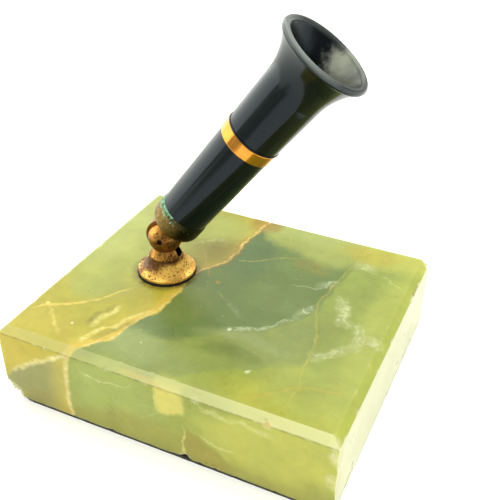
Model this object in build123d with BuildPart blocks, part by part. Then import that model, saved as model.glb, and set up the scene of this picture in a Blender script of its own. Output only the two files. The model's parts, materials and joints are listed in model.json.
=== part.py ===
"""Desk pen stand: a black trumpet socket that tilts and swivels on a polished stone slab."""

import os
from math import cos, hypot, radians, sin, sqrt, tan

from build123d import *

os.makedirs("parts", exist_ok=True)

# Stone slab and the felt glued under it
slab_length = 102.0
slab_depth = 88.0
slab_thickness = 25.0
slab_chamfer = 2.2
felt_thickness = 1.0
felt_inset = 1.0
felt_corner = 8.0

# Where the post stands on the slab
post_from_left = 29.3
post_behind_middle = 0.9

# Flange, its gasket and the stem that runs down through the stone
gasket_radius = 9.1
gasket_thickness = 0.9
flange_radius = 8.9
flange_rim = 0.7
flange_height = 5.2
flange_top_radius = 5.25
flange_flare_sag = 0.8
stem_radius = 4.0
stem_hole_clearance = 0.4
gasket_hole_clearance = 0.1

# Clamp under the slab: pad, washer and nut on the stem
clamp_pad_thickness = 0.8
clamp_washer_thickness = 1.2
clamp_washer_radius = 9.0
clamp_washer_play = 1.5
clamp_nut_width = 13.0
clamp_nut_height = 4.5
stem_past_nut = 0.6
counterbore_spare = 1.8
thread_clearance = 0.02
nut_chamfer = 0.4

# Swivel head: spindle, conical neck and slotted ball
swivel_turn = 11.0
spindle_radius = 2.5
spindle_thread_radius = 2.0
spindle_setback = 0.3
spindle_past_nut = 0.4
running_clearance = 0.05
neck_base_radius = 5.05
neck_top_radius = 3.86
neck_land = 0.6
ball_radius = 5.23
ball_drop = 0.75
pivot_above_flange = 7.25
thrust_washer_radius = 3.9
thrust_washer_thickness = 0.6
spring_radius = 3.7
spring_thickness = 0.4
spring_rise = 0.5
washer_clearance = 0.1
spindle_nut_width = 7.0
spindle_nut_height = 3.2

# Cross pin through the ball
pin_radius = 0.82
pin_recess = 0.3
pin_grip_clearance = 0.01

# Tongue that joins the trumpet to the ball
tilt = 52.8
tongue_proud = 0.27
tongue_thickness = 2.9
tongue_play = 0.15
boss_radius = 2.8
boss_seat_depth = 0.2
boss_clearance = 0.05
stud_radius = 2.0
stud_hole_clearance = 0.1
stud_past_nut = 0.5
tongue_nut_width = 7.0
tongue_nut_height = 3.2
lock_washer_radius = 3.9
lock_washer_thickness = 0.8

# Cup at the foot of the trumpet
cup_radius = 7.7
cup_height = 7.4
cup_corner = 3.0
cup_wall = 1.0
cup_floor_thickness = 1.5
cup_overlap = 1.03
cup_rim_bevel = 1.1
cup_rim_proud = 0.1
dimple_clearance = 0.15
glue_gap = 0.05

# Barrel, trim band and bell of the trumpet
barrel_base_radius = 7.42
barrel_length = 29.45
barrel_floor_thickness = 3.0
barrel_taper = 1.344
joint_length = 5.0
joint_wall = 0.95
band_width = 3.95
band_proud = 0.18
band_rounding = 0.25
bell_base_radius = 8.27
bell_taper = 1.767
bell_length = 28.69
bell_end_gap = 0.2
bell_wall = 1.9
foot_rim_proud = 0.12
foot_rim_height = 0.45
foot_rim_rounding = 0.12
flare_length = 11.93
mouth_radius = 13.0
lip_width = 1.75
lip_radius = 1.05

# Sleeve that takes the pen, and the cushion its point lands on
pen_bore_radius = 5.3
sleeve_wall = 0.6
throat_step = 0.3
cushion_ledge = 0.95
cushion_gap = 0.6
cushion_thickness = 3.0

# Levels of the upright stack, from the desk up
slab_base = felt_thickness
slab_top = slab_base + slab_thickness
flange_base = slab_top + gasket_thickness
flange_top = flange_base + flange_height
pivot_height = flange_top + pivot_above_flange
ball_height = pivot_height - ball_drop

# Levels of the clamp and swivel fixings, from the counterbore's roof down
clamp_stack = clamp_pad_thickness + clamp_washer_thickness + clamp_nut_height + stem_past_nut
spring_height = spring_thickness + spring_rise
swivel_stack = thrust_washer_thickness + spring_height + spindle_nut_height + spindle_past_nut
counterbore_depth = clamp_stack + swivel_stack + counterbore_spare
counterbore_roof = slab_base + counterbore_depth
clamp_washer_top = counterbore_roof - clamp_pad_thickness
clamp_nut_top = clamp_washer_top - clamp_washer_thickness
stem_end = counterbore_roof - clamp_stack
spring_top = stem_end - thrust_washer_thickness
spindle_nut_top = spring_top - spring_height
spindle_end = stem_end - swivel_stack
counterbore_radius = clamp_washer_radius + clamp_washer_play

# Distances along the trumpet, from the pivot out to the mouth
tongue_radius = ball_radius + tongue_proud
dimple_radius = hypot(tongue_radius, tongue_thickness / 2) + dimple_clearance
cup_bottom = ball_radius - cup_overlap
cup_rim = cup_bottom + cup_height
boss_seat = dimple_radius + boss_seat_depth
cup_floor = boss_seat + cup_floor_thickness
barrel_floor = cup_floor + barrel_floor_thickness
tongue_nut_seat = barrel_floor + lock_washer_thickness
stud_end = tongue_nut_seat + tongue_nut_height + stud_past_nut
cushion_seat = stud_end + cushion_gap
sleeve_foot = cushion_seat + cushion_thickness
barrel_top = cup_rim + barrel_length
band_top = barrel_top + band_width
joint_top = band_top + joint_length
flare_end = band_top + bell_length
flare_start = flare_end - flare_length

# Radii that follow from the fits
slot_width = tongue_thickness + 2 * tongue_play
spigot_radius = cup_radius - cup_wall - glue_gap
sleeve_radius = pen_bore_radius + sleeve_wall
barrel_bore_radius = sleeve_radius + glue_gap
nut_bay_radius = barrel_bore_radius - cushion_ledge
joint_radius = barrel_bore_radius + joint_wall
throat_radius = pen_bore_radius + throat_step


def barrel_radius(distance):
    """Outside radius of the barrel's taper at a distance from the pivot."""
    return barrel_base_radius + (distance - cup_rim) * tan(radians(barrel_taper))


def bell_radius(distance):
    """Outside radius of the bell's straight part at a distance from the pivot."""
    return bell_base_radius + (distance - band_top) * tan(radians(bell_taper))


# Planes: the upright plane holds the post, the lean plane holds the trumpet
post_x = post_from_left - slab_length / 2
post_y = post_behind_middle
turn = radians(swivel_turn)
lean = radians(tilt)
lean_heading = Vector(cos(turn), sin(turn), 0)
pin_direction = Vector(sin(turn), -cos(turn), 0)
trumpet_direction = lean_heading * cos(lean) + Vector(0, 0, sin(lean))
belly_direction = lean_heading * sin(lean) - Vector(0, 0, cos(lean))
pivot = Vector(post_x, post_y, pivot_height)
upright_plane = Plane(origin=(post_x, post_y, 0), x_dir=lean_heading, z_dir=pin_direction)
lean_plane = Plane(origin=pivot, x_dir=belly_direction, z_dir=pin_direction)
trumpet_plane = Plane(origin=pivot, x_dir=belly_direction, z_dir=trumpet_direction)
post_axis = Axis((post_x, post_y, 0), (0, 0, 1))
trumpet_axis = Axis(pivot, trumpet_direction)


def washer(base_plane, outer_radius, hole_radius, thickness):
    """Flat ring that stands on base_plane, along its normal."""
    with BuildPart() as ring:
        with BuildSketch(base_plane):
            Circle(outer_radius)
            Circle(hole_radius, mode=Mode.SUBTRACT)
        extrude(amount=thickness)
    return ring.part


def hex_nut(base_plane, width, height, hole_radius):
    """Hexagon nut that stands on base_plane, with its outer corners broken."""
    with BuildPart() as nut:
        with BuildSketch(base_plane):
            RegularPolygon(width / 2, side_count=6, major_radius=False)
        extrude(amount=height)
        ends = nut.faces().filter_by(Axis(base_plane.origin, base_plane.z_dir))
        chamfer(ends.edges(), length=nut_chamfer)
        with BuildSketch(base_plane):
            Circle(hole_radius)
        extrude(amount=height, mode=Mode.SUBTRACT)
    return nut.part


def post_plane(height):
    """Level plane centred on the post."""
    return Plane(origin=(post_x, post_y, height))


def along_trumpet(distance):
    """Plane across the trumpet at a distance from the pivot."""
    return trumpet_plane.offset(distance)


def write_step(part, name):
    """Labels a finished piece and writes it."""
    part.label = name
    export_step(part, f"parts/{name}.step")


# Stone slab: broken top edges, stem hole and a counterbore from below
with BuildPart() as base_slab:
    with BuildSketch(Plane.XY.offset(slab_base)):
        Rectangle(slab_length, slab_depth)
    extrude(amount=slab_thickness)
    chamfer(base_slab.faces().sort_by(Axis.Z)[-1].edges(), length=slab_chamfer)
    with Locations(Location((post_x, post_y, slab_base), (180, 0, 0))):
        CounterBoreHole(stem_radius + stem_hole_clearance, counterbore_radius, counterbore_depth)
write_step(base_slab.part, "base_slab")

# Felt pad that covers the counterbore and rests on the desk
with BuildPart() as felt_pad:
    with BuildSketch(Plane.XY):
        RectangleRounded(slab_length - 2 * felt_inset, slab_depth - 2 * felt_inset, felt_corner)
    extrude(amount=felt_thickness)
write_step(felt_pad.part, "felt_pad")

# Black gasket between stone and flange
write_step(
    washer(post_plane(slab_top), gasket_radius, stem_radius + gasket_hole_clearance, gasket_thickness),
    "flange_gasket",
)

# Flange: flared foot and hollow threaded stem in one turned piece
with BuildPart() as flange:
    with BuildSketch(upright_plane):
        with BuildLine():
            bore_radius = spindle_radius + running_clearance
            rim_top = (flange_radius, flange_base + flange_rim)
            Polyline(
                (flange_top_radius, flange_top),
                (bore_radius, flange_top),
                (bore_radius, stem_end),
                (stem_radius, stem_end),
                (stem_radius, flange_base),
                (flange_radius, flange_base),
                rim_top,
            )
            SagittaArc(rim_top, (flange_top_radius, flange_top), flange_flare_sag)
        make_face()
    revolve(axis=post_axis)
write_step(flange.part, "flange")

# Clamp pad, washer and nut in the counterbore
stem_hole_radius = stem_radius + thread_clearance
write_step(
    washer(post_plane(clamp_washer_top), clamp_washer_radius, stem_hole_radius, clamp_pad_thickness),
    "clamp_pad",
)
write_step(
    washer(post_plane(clamp_nut_top), clamp_washer_radius, stem_hole_radius, clamp_washer_thickness),
    "clamp_washer",
)
write_step(
    hex_nut(post_plane(clamp_nut_top - clamp_nut_height), clamp_nut_width, clamp_nut_height, stem_hole_radius),
    "clamp_nut",
)

# Swivel head: spindle, neck and ball turned in one, then slotted and cross drilled
neck_top = ball_height - sqrt(ball_radius**2 - neck_top_radius**2)
slot_floor = flange_top + neck_land
with BuildPart() as swivel_head:
    with BuildSketch(upright_plane):
        with BuildLine():
            Polyline(
                (0, ball_height + ball_radius),
                (0, spindle_end),
                (spindle_thread_radius, spindle_end),
                (spindle_thread_radius, stem_end + spindle_setback),
                (spindle_radius, stem_end + spindle_setback),
                (spindle_radius, flange_top),
                (neck_base_radius, flange_top),
                (neck_top_radius, neck_top),
            )
            ThreePointArc(
                (neck_top_radius, neck_top),
                (ball_radius, ball_height),
                (0, ball_height + ball_radius),
            )
        make_face()
    revolve(axis=post_axis)
    with BuildSketch(upright_plane):
        with Locations((0, slot_floor)):
            Rectangle(
                2 * (ball_radius + neck_base_radius),
                2 * (ball_height - slot_floor),
                align=(Align.CENTER, Align.MIN),
            )
    extrude(amount=slot_width / 2, both=True, mode=Mode.SUBTRACT)
    with BuildSketch(lean_plane):
        Circle(pin_radius + pin_grip_clearance)
    extrude(amount=2 * ball_radius, both=True, mode=Mode.SUBTRACT)
write_step(swivel_head.part, "swivel_head")

# Cross pin, its ends just below the ball's surface
with BuildPart() as pivot_pin:
    with BuildSketch(lean_plane):
        Circle(pin_radius)
    extrude(amount=sqrt(ball_radius**2 - (ball_drop + pin_radius) ** 2) - pin_recess, both=True)
write_step(pivot_pin.part, "pivot_pin")

# Swivel fixings under the stem: thrust washer, dished spring and nut
thread_hole_radius = spindle_thread_radius + washer_clearance
write_step(
    washer(post_plane(spring_top), thrust_washer_radius, thread_hole_radius, thrust_washer_thickness),
    "thrust_washer",
)
with BuildPart() as spring_washer:
    with BuildSketch(upright_plane):
        Polygon(
            (thread_hole_radius, spindle_nut_top),
            (spring_radius, spring_top - spring_thickness),
            (spring_radius, spring_top),
            (thread_hole_radius, spindle_nut_top + spring_thickness),
            align=None,
        )
    revolve(axis=post_axis)
write_step(spring_washer.part, "spring_washer")
write_step(
    hex_nut(
        post_plane(spindle_nut_top - spindle_nut_height),
        spindle_nut_width,
        spindle_nut_height,
        spindle_thread_radius + thread_clearance,
    ),
    "spindle_nut",
)

# Tongue: round blade in the ball's slot, boss and threaded stud up into the barrel
blade_neck_width = 2 * sqrt(boss_radius**2 - (tongue_thickness / 2) ** 2)
with BuildPart() as tongue:
    with BuildSketch(lean_plane):
        Circle(tongue_radius)
        Rectangle(blade_neck_width, tongue_radius, align=(Align.CENTER, Align.MIN))
        Circle(pin_radius + running_clearance, mode=Mode.SUBTRACT)
    extrude(amount=tongue_thickness / 2, both=True)
    with BuildSketch(along_trumpet(tongue_radius)):
        Circle(boss_radius)
    extrude(amount=boss_seat - tongue_radius)
    with BuildSketch(along_trumpet(boss_seat)):
        Circle(stud_radius)
    extrude(amount=stud_end - boss_seat)
write_step(tongue.part, "tongue")

# Cup: round-cornered cap, dished underneath for the ball and socketed for the barrel
cup_flat_radius = cup_radius - cup_corner
dimple_edge_radius = sqrt(dimple_radius**2 - cup_bottom**2)
boss_hole_radius = boss_radius + boss_clearance
boss_hole_mouth = sqrt(dimple_radius**2 - boss_hole_radius**2)
with BuildPart() as socket_cup:
    with BuildSketch(lean_plane):
        with BuildLine():
            Line((dimple_edge_radius, cup_bottom), (cup_flat_radius, cup_bottom))
            RadiusArc((cup_flat_radius, cup_bottom), (cup_radius, cup_bottom + cup_corner), -cup_corner)
            Polyline(
                (cup_radius, cup_bottom + cup_corner),
                (cup_radius, cup_rim - cup_rim_bevel),
                (barrel_base_radius + cup_rim_proud, cup_rim),
                (cup_radius - cup_wall, cup_rim),
                (cup_radius - cup_wall, cup_floor),
                (stud_radius + stud_hole_clearance, cup_floor),
                (stud_radius + stud_hole_clearance, boss_seat),
                (boss_hole_radius, boss_seat),
                (boss_hole_radius, boss_hole_mouth),
            )
            RadiusArc(
                (boss_hole_radius, boss_hole_mouth),
                (dimple_edge_radius, cup_bottom),
                dimple_radius,
            )
        make_face()
    revolve(axis=trumpet_axis)
write_step(socket_cup.part, "socket_cup")

# Lock washer and nut that draw the tongue, cup and barrel together
write_step(
    washer(
        along_trumpet(barrel_floor),
        lock_washer_radius,
        stud_radius + stud_hole_clearance,
        lock_washer_thickness,
    ),
    "lock_washer",
)
write_step(
    hex_nut(
        along_trumpet(tongue_nut_seat),
        tongue_nut_width,
        tongue_nut_height,
        stud_radius + thread_clearance,
    ),
    "tongue_nut",
)

# Barrel: spigot in the cup, tapered outside, nut bay, pen bore and the spigot for the bell
with BuildPart() as trumpet_barrel:
    with BuildSketch(lean_plane):
        Polygon(
            (stud_radius + stud_hole_clearance, cup_floor),
            (spigot_radius, cup_floor),
            (spigot_radius, cup_rim),
            (barrel_base_radius, cup_rim),
            (barrel_radius(barrel_top), barrel_top),
            (joint_radius, barrel_top),
            (joint_radius, joint_top),
            (barrel_bore_radius, joint_top),
            (barrel_bore_radius, cushion_seat),
            (nut_bay_radius, cushion_seat),
            (nut_bay_radius, barrel_floor),
            (stud_radius + stud_hole_clearance, barrel_floor),
            align=None,
        )
    revolve(axis=trumpet_axis)
write_step(trumpet_barrel.part, "trumpet_barrel")

# Trim band gripped between barrel and bell, standing a little proud
with BuildPart() as trim_band:
    with BuildSketch(lean_plane):
        Polygon(
            (joint_radius + glue_gap, barrel_top),
            (barrel_radius(barrel_top) + band_proud, barrel_top),
            (barrel_radius(band_top) + band_proud, band_top),
            (joint_radius + glue_gap, band_top),
            align=None,
        )
    revolve(axis=trumpet_axis)
    outer_edges = trim_band.edges().filter_by(GeomType.CIRCLE).sort_by(SortBy.RADIUS)[-2:]
    fillet(outer_edges, radius=band_rounding)
write_step(trim_band.part, "trim_band")

# Bell: socket for the barrel's spigot, foot rim, straight taper, then the flare to a beaded lip
foot_rim_radius = barrel_radius(band_top) + band_proud + foot_rim_proud
foot_rim_top = band_top + foot_rim_height
bell_slope = (tan(radians(bell_taper)), 1)
flare_outside = (bell_radius(flare_start), flare_start)
flare_inside = (bell_radius(flare_start) - bell_wall, flare_start)
throat = (throat_radius, joint_top + bell_end_gap)
throat_slope = (flare_inside[0] - throat[0], flare_inside[1] - throat[1])
with BuildPart() as trumpet_bell:
    with BuildSketch(lean_plane):
        with BuildLine():
            Polyline(
                flare_inside,
                throat,
                (joint_radius + glue_gap, joint_top + bell_end_gap),
                (joint_radius + glue_gap, band_top),
                (foot_rim_radius, band_top),
                (foot_rim_radius, foot_rim_top),
                (bell_radius(foot_rim_top), foot_rim_top),
                flare_outside,
            )
            flare = TangentArc(flare_outside, (mouth_radius, flare_end), tangent=bell_slope)
            across_lip = (flare % 1).rotate(Axis.Z, 90)
            lip_end = flare @ 1 + across_lip * lip_width
            RadiusArc(flare @ 1, lip_end, lip_radius, short_sagitta=False)
            TangentArc(flare_inside, lip_end, tangent=throat_slope)
        make_face()
    revolve(axis=trumpet_axis)
    foot_rim_edges = trumpet_bell.edges().filter_by(GeomType.CIRCLE)
    foot_rim_edges = foot_rim_edges.filter_by(lambda edge: abs(edge.radius - foot_rim_radius) < glue_gap)
    fillet(foot_rim_edges, radius=foot_rim_rounding)
write_step(trumpet_bell.part, "trumpet_bell")

# Pen sleeve, and the cushion on the ledge below it
sleeve_length = joint_top - sleeve_foot
write_step(
    washer(along_trumpet(sleeve_foot), sleeve_radius, pen_bore_radius, sleeve_length),
    "pen_sleeve",
)
with BuildPart() as nib_cushion:
    with BuildSketch(along_trumpet(cushion_seat)):
        Circle(sleeve_radius)
    extrude(amount=cushion_thickness)
write_step(nib_cushion.part, "nib_cushion")
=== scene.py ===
import json
import math
import random

import bmesh
import bpy
from mathutils import Matrix, Vector, noise

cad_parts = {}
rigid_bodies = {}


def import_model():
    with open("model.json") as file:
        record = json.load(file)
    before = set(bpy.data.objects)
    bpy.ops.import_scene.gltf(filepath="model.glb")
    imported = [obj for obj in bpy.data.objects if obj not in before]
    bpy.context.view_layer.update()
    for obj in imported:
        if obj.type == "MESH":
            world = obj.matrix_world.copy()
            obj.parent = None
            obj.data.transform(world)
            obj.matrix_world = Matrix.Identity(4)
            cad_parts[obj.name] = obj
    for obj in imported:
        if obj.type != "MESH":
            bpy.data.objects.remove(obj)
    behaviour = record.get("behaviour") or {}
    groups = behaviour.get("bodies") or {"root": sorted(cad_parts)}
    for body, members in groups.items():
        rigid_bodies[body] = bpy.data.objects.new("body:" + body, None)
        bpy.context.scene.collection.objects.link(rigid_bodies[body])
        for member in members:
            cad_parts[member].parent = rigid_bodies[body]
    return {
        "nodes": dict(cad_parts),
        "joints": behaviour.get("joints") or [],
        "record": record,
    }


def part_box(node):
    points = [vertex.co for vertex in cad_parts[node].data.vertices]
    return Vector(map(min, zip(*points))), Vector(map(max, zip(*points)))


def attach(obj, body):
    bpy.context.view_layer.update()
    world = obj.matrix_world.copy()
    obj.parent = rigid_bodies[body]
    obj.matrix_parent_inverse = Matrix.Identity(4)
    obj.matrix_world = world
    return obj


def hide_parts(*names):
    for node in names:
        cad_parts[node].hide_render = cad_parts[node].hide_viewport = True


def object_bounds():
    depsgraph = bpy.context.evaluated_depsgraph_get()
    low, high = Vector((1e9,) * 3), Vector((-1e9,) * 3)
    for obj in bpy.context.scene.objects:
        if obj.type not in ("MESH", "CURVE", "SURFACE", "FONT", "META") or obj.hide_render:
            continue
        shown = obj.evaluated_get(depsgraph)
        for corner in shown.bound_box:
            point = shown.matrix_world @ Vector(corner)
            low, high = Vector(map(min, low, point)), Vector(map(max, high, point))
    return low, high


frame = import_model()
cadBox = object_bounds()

mm = 0.001
scene = bpy.context.scene
for spare in [o for o in bpy.data.objects if o.name in ("Cube", "Light", "Camera")]:
    bpy.data.objects.remove(spare)  # what a new Blender file starts with

# places that the pieces share, all read from the frame
tilt = next(j for j in frame["joints"] if j["name"] == "tilt")
bore = next(m for m in frame["record"]["mounts"] if m["name"] == "pen_socket")
pivot = Vector(tilt["pos_m"])
pinAxis = Vector(tilt["axis"]).normalized()
trumpetAxis = Vector(bore["axis"]).normalized()
slabLow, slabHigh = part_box("base_slab")
feltLow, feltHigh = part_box("felt_pad")
gasketLow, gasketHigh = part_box("flange_gasket")
washerLow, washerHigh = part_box("clamp_washer")
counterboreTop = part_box("clamp_pad")[1].z
postFoot = (gasketLow + gasketHigh) / 2
gasketRadius = (gasketHigh.x - gasketLow.x) / 2
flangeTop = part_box("flange")[1].z
print("frame loaded:", len(frame["nodes"]), "nodes")


def linear(hexText):
    channels = [int(hexText[i:i + 2], 16) / 255 for i in (1, 3, 5)]
    return [c / 12.92 if c <= 0.04045 else ((c + 0.055) / 1.055) ** 2.4 for c in channels] + [1.0]


def addNode(tree, kind, inputs=None, give=None, **settings):
    # settings go on the node, inputs are numbers, colours or other nodes' sockets
    made = tree.nodes.new("ShaderNode" + kind)
    for name, value in settings.items():
        setattr(made, name, value)
    for key, value in (inputs or {}).items():
        named = [s for s in made.inputs if s.enabled and s.name == key]
        socket = named[0] if named else made.inputs[key]
        if isinstance(value, bpy.types.NodeSocket):
            tree.links.new(value, socket)
        else:
            socket.default_value = value
    if not made.outputs:
        return made
    return made.outputs[give] if give else next(s for s in made.outputs if s.enabled)


def paint(tree, colour, *layers):
    # each layer is a colour and how much of it shows, and the later ones lie on top
    for tint, held in layers:
        colour = addNode(tree, "Mix", {"Factor": held, "A": colour, "B": linear(tint)}, data_type="RGBA")
    return colour


def together(tree, mask, *others):
    # holds only where all the masks do
    for other in others:
        mask = addNode(tree, "Math", {0: mask, 1: other}, operation="MULTIPLY")
    return mask


def patches(tree, point, size, low, high, least=0.0, most=1.0, **finer):
    # noise in patches of a size in mm: least where it is under low, most where it is over high
    cloud = addNode(tree, "TexNoise", {"Vector": point, "Scale": 1 / size, **finer})
    return addNode(tree, "MapRange", {"Value": cloud, "From Min": low, "From Max": high, "To Min": least,
                                      "To Max": most})


def fadeAlong(tree, point, way, low, high, least=0.0, most=1.0):
    # a gradient along one way: least up to low, most from high on
    along = addNode(tree, "VectorMath", {0: point, 1: way}, give="Value", operation="DOT_PRODUCT")
    return addNode(tree, "MapRange", {"Value": along, "From Min": low, "From Max": high, "To Min": least,
                                      "To Max": most})


def offBy(tree, value, middle):
    # how far a value is from a middle one, either way
    off = addNode(tree, "Math", {0: value, 1: middle}, operation="SUBTRACT")
    return addNode(tree, "Math", {0: off}, operation="ABSOLUTE")


def warped(tree, point, onto, size, reach, **finer):
    # places pushed about by noise in patches of a size in mm
    push = addNode(tree, "TexNoise", {"Vector": point, "Scale": 1 / size, **finer}, give="Color")
    push = addNode(tree, "VectorMath", {0: push, 1: (0.5, 0.5, 0.5)}, operation="SUBTRACT")
    push = addNode(tree, "VectorMath", {0: push, "Scale": reach}, operation="SCALE")
    return addNode(tree, "VectorMath", {0: push, 1: onto}, operation="ADD")


def newMaterial(name):
    material = bpy.data.materials.new(name)
    material.use_nodes = True
    tree = material.node_tree
    tree.nodes.clear()
    inMm = addNode(tree, "VectorMath", {0: addNode(tree, "TexCoord", give="Object"), "Scale": 1 / mm},
                   operation="SCALE")  # Object coordinates, read in millimetres
    return material, tree, inMm


def dress(material, *names):
    for name in names:
        frame["nodes"][name].material_slots[0].material = material


def newObject(name, bm, material=None):
    mesh = bpy.data.meshes.new(name)
    bm.to_mesh(mesh)
    bm.free()
    if material:
        mesh.materials.append(material)
    made = bpy.data.objects.new(name, mesh)
    scene.collection.objects.link(made)
    return made


def finishMesh(name, bm, material, body, slot, *replaced):
    piece = newObject(name, bm, material)
    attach(piece, body)
    if replaced:
        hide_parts(*replaced)
    return piece


# the camera stands where the photograph was taken
cameraSet = {
    "place": (82.721 * mm, -166.839 * mm, 161.113 * mm),
    "azimuth": 24.375,
    "down": 33.027,
    "roll": 0.818,
    "focalPixels": 761.9,
    "framePixels": 500,
    "sensor": 36.0,
    "offPixels": 0.5,
    "clip": (10 * mm, 10.0),
}
turn = math.radians(cameraSet["azimuth"])
dip = math.radians(cameraSet["down"])
roll = math.radians(cameraSet["roll"])
sight = Vector((-math.sin(turn) * math.cos(dip), math.cos(turn) * math.cos(dip), -math.sin(dip)))
levelRight = sight.cross(Vector((0, 0, 1))).normalized()
levelUp = levelRight.cross(sight)
viewRight = levelRight * math.cos(roll) + levelUp * math.sin(roll)
viewUp = levelUp * math.cos(roll) - levelRight * math.sin(roll)
lens = bpy.data.cameras.new("photoCamera")
lens.sensor_width = cameraSet["sensor"]
lens.lens = cameraSet["focalPixels"] / cameraSet["framePixels"] * cameraSet["sensor"]
lens.shift_x = -cameraSet["offPixels"] / cameraSet["framePixels"]
lens.shift_y = cameraSet["offPixels"] / cameraSet["framePixels"]
lens.clip_start, lens.clip_end = cameraSet["clip"]
camera = bpy.data.objects.new("photoCamera", lens)
camera.matrix_world = (Matrix.Translation(cameraSet["place"])
                       @ Matrix((viewRight, viewUp, -sight)).transposed().to_4x4())
scene.collection.objects.link(camera)
scene.camera = camera

# white paper under the object, a soft room and four soft lamps
studioSet = {
    "floorSize": 6.0,
    "floorColour": "#FAFAF6",
    "floorGlow": 0.12,  # the paper is lit from behind a little, so that only contact shadows show
    "matt": {"Roughness": 0.9, "Specular IOR Level": 0.1},  # paper and flock have next to no sheen
    "roomColour": "#FFFFF8",
    "roomToward": (-0.75, 0.45, 0.5),  # the room is brighter on this side
    "roomSpan": (-0.6, 0.8),
    "roomDim": 0.27,
    "roomBright": 0.74,
    # name: place, width, height, power, aimed at the object's middle
    "lamps": {
        "backOverhead": ((0.00, 0.32, 0.72), 0.80, 0.80, 3.5),
        "leftWindow": ((-0.90, 0.17, 0.34), 1.90, 1.00, 10.8),
        "rightFill": ((0.80, 0.10, 0.22), 0.50, 0.50, 2.4),
        "frontFill": ((0.40, -0.58, 0.62), 0.40, 0.40, 4.8),
    },
    "noGloss": ("frontFill", "rightFill"),  # these light, but leave no spots on the gloss
    # a dark card that slopes up from the floor, out of the picture, seen only in the gloss
    "cardFrom": 0.16,
    "cardTo": 1.10,
    "cardRise": 0.26,
    "cardWay": math.radians(-118.5),
    "cardSpread": math.radians(13.5),
    "cardSoft": math.radians(4.0),
    "cardFade": 0.08,
    "cardColour": "#A09E98",
}
scene.view_settings.view_transform = "Standard"
middle = (cadBox[0] + cadBox[1]) / 2
paper, tree, inMm = newMaterial("paleBackdropPaper")  # matt white paper, no sheen
paperColour = linear(studioSet["floorColour"])
shader = addNode(tree, "BsdfPrincipled", {"Base Color": paperColour, "Emission Color": paperColour,
                                          "Emission Strength": studioSet["floorGlow"], **studioSet["matt"]})
addNode(tree, "OutputMaterial", {"Surface": shader})
bm = bmesh.new()
bmesh.ops.create_grid(bm, x_segments=1, y_segments=1, size=studioSet["floorSize"] / 2)
floor = newObject("floor", bm, paper)

flock, tree, inMm = newMaterial("blackFlockCard")  # flocked card, matt, fading out at its edges
cardTurn = Matrix.Rotation(studioSet["cardWay"], 3, "Z")
cardAhead = cardTurn @ Vector((1, 0, 0))
cardAside = cardTurn @ Vector((0, 1, 0))
cardWide = studioSet["cardSpread"] + studioSet["cardSoft"]
cardFull = studioSet["cardSpread"] - studioSet["cardSoft"]
cardFrom, cardRise = studioSet["cardFrom"], studioSet["cardRise"]
cardReach = studioSet["cardTo"] - cardFrom
cardSpot = addNode(tree, "TexCoord", give="Object")
outward = addNode(tree, "VectorMath", {0: cardSpot, 1: cardAhead}, give="Value", operation="DOT_PRODUCT")
aside = addNode(tree, "VectorMath", {0: cardSpot, 1: cardAside}, give="Value", operation="DOT_PRODUCT")
swing = addNode(tree, "Math", {0: aside, 1: outward}, operation="ARCTAN2")
swing = addNode(tree, "Math", {0: swing}, operation="ABSOLUTE")
sideEdge = addNode(tree, "MapRange", {"Value": swing, "From Min": cardWide, "From Max": cardFull})
nearEdge = addNode(tree, "MapRange", {"Value": outward, "From Min": cardFrom,
                                      "From Max": cardFrom + studioSet["cardFade"]})
shader = addNode(tree, "BsdfPrincipled", {"Base Color": linear(studioSet["cardColour"]),
                                          "Alpha": together(tree, sideEdge, nearEdge), **studioSet["matt"]})
addNode(tree, "OutputMaterial", {"Surface": shader})
cardSize = (math.hypot(cardReach, cardRise), 2 * studioSet["cardTo"] * math.tan(cardWide), 1)
bm = bmesh.new()
bmesh.ops.create_grid(bm, x_segments=1, y_segments=1, size=0.5)
bmesh.ops.scale(bm, vec=cardSize, verts=bm.verts)
bmesh.ops.rotate(bm, matrix=Matrix.Rotation(-math.atan2(cardRise, cardReach), 3, "Y"), verts=bm.verts)
bmesh.ops.rotate(bm, matrix=cardTurn, verts=bm.verts)
bmesh.ops.translate(bm, vec=cardAhead * (cardFrom + cardReach / 2) + Vector((0, 0, cardRise / 2 + mm)),
                    verts=bm.verts)
card = newObject("darkCard", bm, flock)
card.visible_camera = False
card.visible_diffuse = False
card.visible_transmission = False
card.visible_shadow = False

world = bpy.data.worlds.new("studio")
scene.world = world
world.use_nodes = True
tree = world.node_tree
tree.nodes.clear()
heading = addNode(tree, "VectorMath", {0: addNode(tree, "TexCoord", give="Generated"),
                                       1: Vector(studioSet["roomToward"]).normalized()},
                  give="Value", operation="DOT_PRODUCT")
roomFrom, roomFull = studioSet["roomSpan"]
glow = addNode(tree, "MapRange", {"Value": heading, "From Min": roomFrom, "From Max": roomFull,
                                  "To Min": studioSet["roomDim"], "To Max": studioSet["roomBright"]},
               interpolation_type="SMOOTHSTEP")
sky = addNode(tree, "Background", {"Color": linear(studioSet["roomColour"]), "Strength": glow})
addNode(tree, "OutputWorld", {"Surface": sky})
for name, (place, width, tall, power) in studioSet["lamps"].items():
    lamp = bpy.data.lights.new(name, "AREA")
    lamp.shape = "RECTANGLE"
    lamp.size = width
    lamp.size_y = tall
    lamp.energy = power
    holder = bpy.data.objects.new(name, lamp)
    holder.location = place
    holder.rotation_euler = (middle - Vector(place)).to_track_quat("-Z", "Y").to_euler()
    holder.visible_glossy = name not in studioSet["noGloss"]
    scene.collection.objects.link(holder)
print("camera, floor and light ready")


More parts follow.
